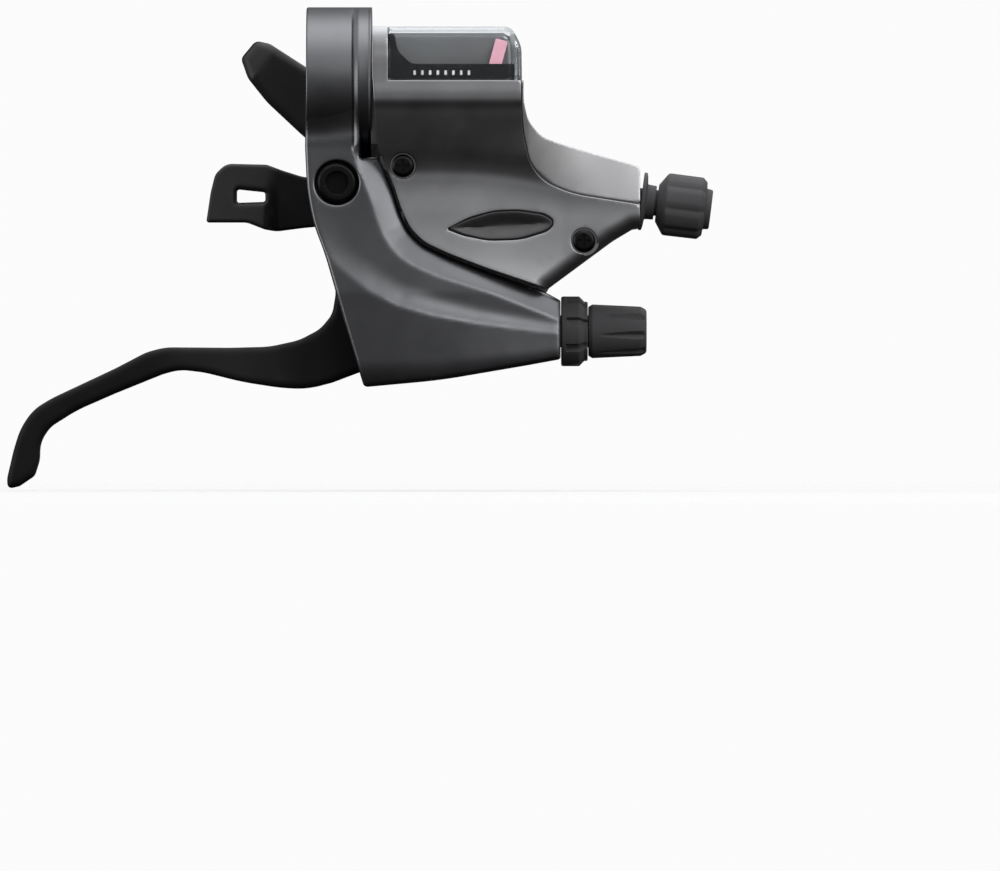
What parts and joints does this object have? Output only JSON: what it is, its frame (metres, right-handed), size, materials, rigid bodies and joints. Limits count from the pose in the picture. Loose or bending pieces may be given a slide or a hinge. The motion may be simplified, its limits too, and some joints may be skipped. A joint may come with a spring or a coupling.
{
  "type": "brake shift lever",
  "caption": "Flat-bar brake lever with trigger shifter: split clamp, two-finger blade, thumb and finger shift levers, gear window with needle, and two cable adjusters.",
  "frame": {"origin": "centre of the handlebar clamp's bore, halfway between its two faces", "axes": "+X along the handlebar towards the stem, +Z from the brake lever towards the rider, +Y from the gear display towards the shift levers"},
  "size_m": [0.1421, 0.0502, 0.0967],
  "materials": {
    "bracket_paint": "dark metallic grey paint, satin",
    "cover_paint": "dark metallic grey paint, satin",
    "case_paint": "light metallic grey paint, satin",
    "lever_paint": "black paint, satin",
    "lever_resin": "black resin, satin",
    "adjuster_resin": "black resin, satin",
    "dark_rubber": "dark grey, finely ribbed",
    "black_steel": "black oxide",
    "plain_steel": "zinc plated",
    "spring_steel": "drawn wire",
    "bronze": "sintered bronze",
    "drum_resin": "plain acetal",
    "clear_lens": "clear moulded lens",
    "mask_black": "gloss black print",
    "dial_grey": "matte grey",
    "needle_red": "pink-red"
  },
  "bodies": {
    "bracket": {"bracket": "bracket_paint", "clamp_bolt": "black_steel", "brake_pivot_pin": "plain_steel", "shifter_case": "case_paint", "front_cover": "cover_paint", "leaf_plug": "dark_rubber", "display_window": "clear_lens", "display_mask": "mask_black", "display_dial": "dial_grey", "cover_screws": "black_steel", "adjuster_seat": "adjuster_resin", "adjuster_spring": "spring_steel", "base_plate": "plain_steel", "base_screws": "plain_steel", "main_axle": "plain_steel", "axle_washer": "plain_steel", "axle_nut": "plain_steel", "drum_spring": "spring_steel", "hold_pawl_pin": "plain_steel", "hold_pawl_spring": "spring_steel", "thumb_return_spring": "spring_steel", "trigger_return_spring": "spring_steel"},
    "brake_lever": {"brake_lever": "lever_paint", "brake_pivot_bushes": "bronze", "brake_return_spring": "spring_steel"},
    "brake_adjuster": {"brake_adjuster": "adjuster_resin"},
    "brake_lock_ring": {"brake_lock_ring": "adjuster_resin"},
    "shift_adjuster": {"shift_adjuster": "adjuster_resin"},
    "cable_drum": {"cable_drum": "drum_resin", "ratchet_wheel": "plain_steel"},
    "gear_needle": {"gear_needle": "needle_red"},
    "thumb_lever": {"thumb_lever_arm": "plain_steel", "thumb_lever_cap": "lever_resin", "drive_plate": "plain_steel", "drive_pawl_pin": "plain_steel"},
    "drive_pawl": {"drive_pawl": "plain_steel"},
    "hold_pawl": {"hold_pawl": "plain_steel"},
    "trigger_lever": {"trigger_arm": "plain_steel", "trigger_paddle": "lever_resin"}
  },
  "joints": [
    {"name": "brake_pull", "type": "hinge", "parent": "bracket", "child": "brake_lever", "pos_m": [0.0047, 0, -0.0305], "axis": [0, 1, 0], "range_deg": [0, 25], "stiffness_Nm_per_rad": 0.15, "springref_deg": -17.19},
    {"name": "brake_adjuster_turn", "type": "hinge", "parent": "bracket", "child": "brake_adjuster", "pos_m": [0.05, 0, -0.0496], "axis": [1, 0, 0], "range_deg": [0, 1080]},
    {"name": "lock_ring_turn", "type": "hinge", "parent": "bracket", "child": "brake_lock_ring", "pos_m": [0.047, 0, -0.0496], "axis": [1, 0, 0], "range_deg": [0, 1080]},
    {"name": "shift_adjuster_turn", "type": "hinge", "parent": "bracket", "child": "shift_adjuster", "pos_m": [0.0605, -0.002, -0.0235], "axis": [0.9925, 0, -0.1219], "range_deg": [0, 1080]},
    {"name": "drum_turn", "type": "hinge", "parent": "bracket", "child": "cable_drum", "pos_m": [0.0237, -0.002, -0.025], "axis": [0, -1, 0], "range_deg": [0, 187]},
    {"name": "needle_sweep", "type": "hinge", "parent": "bracket", "child": "gear_needle", "pos_m": [0.0237, -0.0135, -0.025], "axis": [0, -1, 0], "range_deg": [0, 34.1]},
    {"name": "thumb_push", "type": "hinge", "parent": "bracket", "child": "thumb_lever", "pos_m": [0.0237, 0.024, -0.025], "axis": [0, -1, 0], "range_deg": [0, 30], "stiffness_Nm_per_rad": 0.1, "springref_deg": -14.32},
    {"name": "drive_pawl_swing", "type": "hinge", "parent": "thumb_lever", "child": "drive_pawl", "pos_m": [0.0326, 0.0018, -0.03147], "axis": [0, -1, 0], "range_deg": [0, 8], "stiffness_Nm_per_rad": 0.001, "springref_deg": -22.92},
    {"name": "trigger_pull", "type": "hinge", "parent": "bracket", "child": "trigger_lever", "pos_m": [0.0237, 0.0188, -0.025], "axis": [0, 1, 0], "range_deg": [0, 12], "stiffness_Nm_per_rad": 0.1, "springref_deg": -14.32},
    {"name": "hold_pawl_lift", "type": "hinge", "parent": "bracket", "child": "hold_pawl", "pos_m": [0.03245, 0.0018, -0.01594], "axis": [0, -1, 0], "range_deg": [0, 10]}
  ],
  "couplings": [
    {"joint": "needle_sweep", "follows": "drum_turn", "ratio": 0.182},
    {"joint": "hold_pawl_lift", "follows": "trigger_pull", "ratio": 0.8333}
  ]
}
